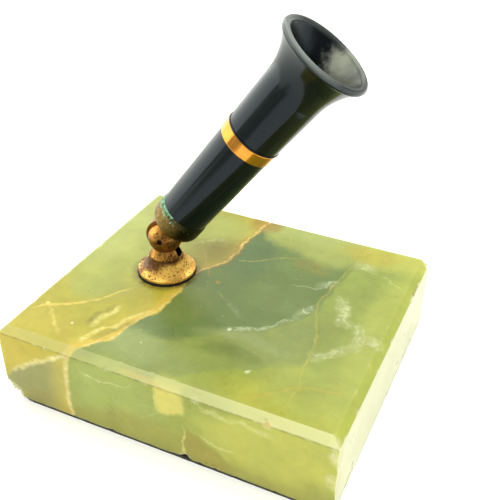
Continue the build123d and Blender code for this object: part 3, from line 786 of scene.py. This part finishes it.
# what all the brass shares: sizes in mm, how far the runs are drawn out down the neck, how far the brown's
# border sways, how much pits crowd in patches and in the brown, and how dull they are
wearSet = {"toneSize": 3.0, "crowdSize": 3.5, "runSize": 1.2, "runs": (1, 1, 0.1), "sway": 2.0,
           "crowding": 0.1, "brownPits": 0.06, "pitDull": 0.3}
for name, finish in brassSet.items():
    material, tree, inMm = newMaterial(name)
    onHead = "swivel_head" in finish["nodes"]
    tone = patches(tree, inMm, wearSet["toneSize"], low=0.35, high=0.7, Detail=5.0, Roughness=0.6)
    # the brown is partly failed lacquer and partly painted: a painted reflection of the dark neck on the
    # flange under it, and painted shade on the ball's underside
    place = addNode(tree, "VectorMath", {0: inMm, 1: finish["brownFrom"] / mm}, operation="SUBTRACT")
    lean = addNode(tree, "VectorMath", {0: place, 1: finish["tarnishAndShadeWay"]}, give="Value",
                   operation="DOT_PRODUCT")
    lean = addNode(tree, "Math", {0: tone, 1: wearSet["sway"], 2: lean}, operation="MULTIPLY_ADD")
    brownStart, brownFull = (along + wearSet["sway"] / 2 for along in finish["brownSpan"])
    brown = addNode(tree, "MapRange", {"Value": lean, "From Min": brownStart, "From Max": brownFull,
                                       "To Max": finish["brownMost"]}, interpolation_type="SMOOTHSTEP")
    if onHead:
        # only the ball is browned, and the neck below it keeps its gold, with brown runs down it
        onBall = fadeAlong(tree, inMm, (0, 0, 1), *slotSet["neckTop"])
        belowBall = addNode(tree, "Math", {0: 1.0, 1: onBall}, operation="SUBTRACT")
        drawn = addNode(tree, "VectorMath", {0: inMm, 1: wearSet["runs"]}, operation="MULTIPLY")
        runs = patches(tree, drawn, wearSet["runSize"], low=0.5, high=0.62, most=0.55, Detail=3.0)
        brown = addNode(tree, "Math", {0: runs, 1: belowBall, 2: together(tree, brown, onBall)},
                        operation="MULTIPLY_ADD")
    grain = addNode(tree, "TexNoise", {"Vector": inMm, "Scale": 1 / finish["pitSize"], "Detail": 3.0,
                                       "Roughness": 0.6})
    crowd = patches(tree, inMm, wearSet["crowdSize"], low=0.4, high=0.65, least=finish["pits"],
                    most=finish["pits"] + wearSet["crowding"], Detail=3.0)
    crowd = addNode(tree, "Math", {0: brown, 1: wearSet["brownPits"], 2: crowd}, operation="MULTIPLY_ADD")
    pits = addNode(tree, "Math", {0: grain, 1: crowd}, operation="ADD")
    pits = addNode(tree, "MapRange", {"Value": pits, "From Min": 0.63, "From Max": 0.7, "To Max": 0.85})
    metal = paint(tree, linear(finish["bright"]), (finish["deep"], tone), (finish["brown"], brown),
                  (finish["pit"], pits))
    if onHead:
        # painted shade: near black inside the slot, and a dark line in the crease where the neck stands on
        # the flange
        flank = addNode(tree, "VectorMath", {0: place, 1: pinAxis}, give="Value", operation="DOT_PRODUCT")
        flank = addNode(tree, "Math", {0: flank}, operation="ABSOLUTE")
        within = addNode(tree, "Math", {0: flank, 1: slotSet["half"]}, operation="LESS_THAN")
        level = addNode(tree, "VectorMath", {0: inMm, 1: (0, 0, 1)}, give="Value", operation="DOT_PRODUCT")
        above = addNode(tree, "Math", {0: level, 1: flangeTop / mm + slotSet["floor"]},
                        operation="GREATER_THAN")
        lineTop, lineFoot = (flangeTop / mm + up for up in slotSet["footLine"])
        footLine = fadeAlong(tree, inMm, (0, 0, 1), lineTop, lineFoot, most=0.85)
        recessShade = addNode(tree, "Math", {0: together(tree, within, above), 1: footLine}, operation="MAXIMUM")
        metal = paint(tree, metal, (slotSet["recessShade"], recessShade))
    dull = addNode(tree, "MapRange", {"Value": pits, "To Min": finish["roughness"],
                                      "To Max": finish["roughness"] + wearSet["pitDull"]})
    bump = addNode(tree, "Bump", {"Height": pits, "Strength": 0.5, "Distance": 0.04 * mm}, invert=True)
    shader = addNode(tree, "BsdfPrincipled", {"Base Color": metal, "Roughness": dull,
                                              "Metallic": finish["metallic"], "Normal": bump})
    addNode(tree, "OutputMaterial", {"Surface": shader})
    dress(material, *finish["nodes"])
print("brass finished")


# bare brass gone khaki and brown: dull and grainy, and painted almost black on the side away from the light
# as painted shade
cupSet = {"khaki": "#9C854C", "brown": "#664F26", "shade": "#110E09", "rim": "#34351C", "salt": "#86BE98",
          "saltAndLightSide": (-0.798, -0.059, 0.6), "shadeSpan": (3.0, -3.5), "bloomSpan": (-5.0, 4.0),
          "rimSpan": (10.2, 10.7), "saltSpan": (7.8, 11.2), "toneSize": 1.2, "bloomSize": 0.8}
cupBrass, tree, inMm = newMaterial("tarnishedBareBrass")
fromPivot = addNode(tree, "VectorMath", {0: inMm, 1: pivot / mm}, operation="SUBTRACT")
brown = patches(tree, inMm, cupSet["toneSize"], low=0.32, high=0.62, Detail=6.0, Roughness=0.8)
# painted shade: the cup darkens nearly to black on the side turned away from the light
shaded = fadeAlong(tree, fromPivot, cupSet["saltAndLightSide"], *cupSet["shadeSpan"], most=0.95)
rimTone = fadeAlong(tree, fromPivot, trumpetAxis, *cupSet["rimSpan"], most=0.7)
# a thin bloom of blue-green salts near the rim, under the grains of crust
rimLow = fadeAlong(tree, fromPivot, trumpetAxis, *cupSet["saltSpan"])
reach = fadeAlong(tree, fromPivot, cupSet["saltAndLightSide"], *cupSet["bloomSpan"], most=0.36)
bloom = addNode(tree, "TexNoise", {"Vector": inMm, "Scale": 1 / cupSet["bloomSize"], "Detail": 6.0,
                                   "Roughness": 0.7})
bloom = addNode(tree, "Math", {0: reach, 1: rimLow, 2: bloom}, operation="MULTIPLY_ADD")
salts = addNode(tree, "MapRange", {"Value": bloom, "From Min": 0.74, "From Max": 0.88})
metal = paint(tree, linear(cupSet["khaki"]), (cupSet["brown"], brown), (cupSet["shade"], shaded),
              (cupSet["rim"], rimTone), (cupSet["salt"], salts))
bare = addNode(tree, "MapRange", {"Value": salts, "To Min": 0.95, "To Max": 0.0})
dull = addNode(tree, "MapRange", {"Value": salts, "To Min": 0.42, "To Max": 0.95})
bump = addNode(tree, "Bump", {"Height": bloom, "Strength": 0.5, "Distance": 0.15 * mm})
shader = addNode(tree, "BsdfPrincipled", {"Base Color": metal, "Roughness": dull, "Metallic": bare,
                                          "Normal": bump})
addNode(tree, "OutputMaterial", {"Surface": shader})
dress(cupBrass, "socket_cup")

# verdigris: copper salts grown in loose grains along the cup's rim. Chalky mint, dark green between.
crustSet = {"grains": 420, "seed": 11, "from": 9.6, "to": 11.4, "radius": 7.66, "taper": 0.14,
            "grain": (0.09, 0.30), "narrow": (0.6, 1.0), "flat": 0.6, "spread": (13, 42), "speckSize": 0.6,
            "mint": "#ACE2BC", "deep": "#3A7254"}
crust, tree, inMm = newMaterial("verdigrisSalts")
speck = patches(tree, inMm, crustSet["speckSize"], low=0.35, high=0.6, Detail=4.0)
salts = paint(tree, linear(crustSet["deep"]), (crustSet["mint"], speck))
bump = addNode(tree, "Bump", {"Height": speck, "Strength": 0.4, "Distance": 0.1 * mm})
shader = addNode(tree, "BsdfPrincipled", {"Base Color": salts, "Roughness": 0.9, "Normal": bump,
                                          "Specular IOR Level": 0.2})
addNode(tree, "OutputMaterial", {"Surface": shader})
dice = random.Random(crustSet["seed"])
dampWay = Vector(cupSet["saltAndLightSide"])
dampWay = (dampWay - trumpetAxis * dampWay.dot(trumpetAxis)).normalized()
bm = bmesh.new()
for k in range(crustSet["grains"]):
    angle = math.radians(dice.gauss(*crustSet["spread"]))
    outward = Matrix.Rotation(angle, 3, trumpetAxis) @ dampWay
    along = dice.uniform(crustSet["from"], crustSet["to"]) * mm
    size = dice.uniform(*crustSet["grain"]) * mm
    grain = bmesh.ops.create_icosphere(bm, subdivisions=1, radius=size)["verts"]
    bmesh.ops.scale(bm, vec=(1, dice.uniform(*crustSet["narrow"]), crustSet["flat"]), verts=grain)
    bmesh.ops.rotate(bm, matrix=outward.to_track_quat("Z", "Y").to_matrix(), verts=grain)
    radius = crustSet["radius"] * mm - crustSet["taper"] * (along - crustSet["from"] * mm)
    bmesh.ops.translate(bm, vec=pivot + trumpetAxis * along + outward * radius, verts=grain)
finishMesh("verdigrisCrust", bm, crust, "trumpet", "tarnished_brass")
print("crust grown")


# hard rubber: moulded, turned and buffed to a deep black gloss, and a little green on the side toward the
# light, partly faded by the sun and partly a painted sheen.
# Dust and dried ink have clouded the inside of the mouth, and handling has greyed the lip, which is painted
# lighter toward the light as a painted highlight.
eboniteSet = {"black": "#06080A", "fadeAndSheen": "#1C241D", "fadeAndSheenSide": (-0.798, -0.059, 0.6), "film": "#9A9E8C",
              "stainAt": (26.6, 16.6, 92.6), "stainReach": 9.6, "stainFull": 4.0, "stainFray": 8.0,
              "streakAt": (23.4, 19.2, 94.8), "streakReach": 6.5, "mottleSize": 3.0, "hazeSize": 6.0,
              "scuffSize": 0.6, "lip": "#7C837C", "lipHighlightSide": (-0.55, -0.78, 0.30), "lipSpan": (74.4, 75.4),
              "litSpan": (2.0, 11.0), "fadeAndSheenSpan": (1.0, 8.0), "insideSpan": (-0.5, -2.5),
              "tint": "#D2E6F4", "insideDull": 0.14}
ebonite, tree, inMm = newMaterial("buffedBlackHardRubber")
fromPivot = addNode(tree, "VectorMath", {0: inMm, 1: pivot / mm}, operation="SUBTRACT")
height = addNode(tree, "VectorMath", {0: fromPivot, 1: trumpetAxis}, give="Value", operation="DOT_PRODUCT")
stem = addNode(tree, "VectorMath", {0: trumpetAxis, "Scale": height}, operation="SCALE")
outward = addNode(tree, "VectorMath", {0: fromPivot, 1: stem}, operation="SUBTRACT")
facing = addNode(tree, "TexCoord", give="Normal")
inside = fadeAlong(tree, outward, facing, *eboniteSet["insideSpan"])
outside = addNode(tree, "Math", {0: 1.0, 1: inside}, operation="SUBTRACT")
# the film of dust is frayed by noise, and thickest in a streak
mottle = addNode(tree, "TexNoise", {"Vector": inMm, "Scale": 1 / eboniteSet["mottleSize"], "Detail": 6.0,
                                    "Roughness": 0.7})
fray = addNode(tree, "Math", {0: mottle, 1: 0.5}, operation="SUBTRACT")
frayed = []
for spot in ("stainAt", "streakAt"):
    away = addNode(tree, "VectorMath", {0: inMm, 1: eboniteSet[spot]}, give="Value", operation="DISTANCE")
    frayed.append(addNode(tree, "Math", {0: fray, 1: eboniteSet["stainFray"], 2: away},
                          operation="MULTIPLY_ADD"))
stain = addNode(tree, "MapRange", {"Value": frayed[0], "From Min": eboniteSet["stainReach"],
                                   "From Max": eboniteSet["stainFull"]}, interpolation_type="SMOOTHSTEP")
streak = addNode(tree, "MapRange", {"Value": frayed[1], "From Min": eboniteSet["streakReach"],
                                    "To Min": 0.38})
lip = fadeAlong(tree, fromPivot, trumpetAxis, *eboniteSet["lipSpan"])
# painted highlight: the lip's grey is lighter on the side toward the light
litLip = fadeAlong(tree, outward, eboniteSet["lipHighlightSide"], *eboniteSet["litSpan"], least=0.2, most=0.8)
# painted light: the green toward the light is partly sun fading and partly a painted sheen
sunny = fadeAlong(tree, outward, eboniteSet["fadeAndSheenSide"], *eboniteSet["fadeAndSheenSpan"])
black = paint(tree, linear(eboniteSet["black"]), (eboniteSet["fadeAndSheen"], together(tree, sunny, outside)),
              (eboniteSet["lip"], together(tree, lip, litLip)),
              (eboniteSet["film"], together(tree, stain, inside, streak)))
haze = patches(tree, inMm, eboniteSet["hazeSize"], low=0.35, high=0.7, least=0.07, most=0.18, Detail=5.0)
dull = addNode(tree, "Math", {0: inside, 1: eboniteSet["insideDull"], 2: haze}, operation="MULTIPLY_ADD")
scuffs = addNode(tree, "TexNoise", {"Vector": inMm, "Scale": 1 / eboniteSet["scuffSize"], "Detail": 2.0})
bump = addNode(tree, "Bump", {"Height": scuffs, "Strength": 0.03, "Distance": 0.05 * mm})
shader = addNode(tree, "BsdfPrincipled", {
    "Base Color": black, "Roughness": dull, "Normal": bump, "IOR": 1.5, "Specular IOR Level": 0.34,
    "Specular Tint": linear(eboniteSet["tint"])})
addNode(tree, "OutputMaterial", {"Surface": shader})
dress(ebonite, "trumpet_barrel", "trumpet_bell")


# small plain finishes, pressed, plated, blackened or moulded, with a fine grain that breaks up the light:
# colour pair, grain size in mm, roughness, metallic, nodes
plainSet = {
    "pressedBlackFibre": ("#0E0D0C", "#1E1B17", 0.6, 0.75, 0.0, ["flange_gasket", "clamp_pad"]),
    "zincDullSteel": ("#8D8F90", "#6E6F70", 1.0, 0.38, 1.0,
                      ["clamp_washer", "spring_washer", "lock_washer"]),
    "blackenedSteelPin": ("#2A211B", "#15110E", 0.7, 0.4, 0.8, ["pivot_pin"]),
    "oxidisedBrassTongue": ("#6A401C", "#A06C34", 1.1, 0.36, 1.0, ["tongue"]),
    "mouldedDarkSleeve": ("#141516", "#26282A", 1.5, 0.3, 0.0, ["pen_sleeve"]),
    "softRubberPad": ("#171615", "#25231F", 0.8, 0.85, 0.0, ["nib_cushion"]),
}
for name, (dark, light, grainSize, roughness, metallic, nodes) in plainSet.items():
    material, tree, inMm = newMaterial(name)
    grain = addNode(tree, "TexNoise", {"Vector": inMm, "Scale": 1 / grainSize, "Detail": 4.0})
    mixed = paint(tree, linear(dark), (light, grain))
    dull = addNode(tree, "MapRange", {"Value": grain, "To Min": roughness - 0.1, "To Max": roughness + 0.1})
    bump = addNode(tree, "Bump", {"Height": grain, "Strength": 0.2, "Distance": 0.05 * mm})
    shader = addNode(tree, "BsdfPrincipled", {"Base Color": mixed, "Roughness": dull, "Metallic": metallic,
                                              "Normal": bump})
    addNode(tree, "OutputMaterial", {"Surface": shader})
    dress(material, *nodes)
print("finishes ready")
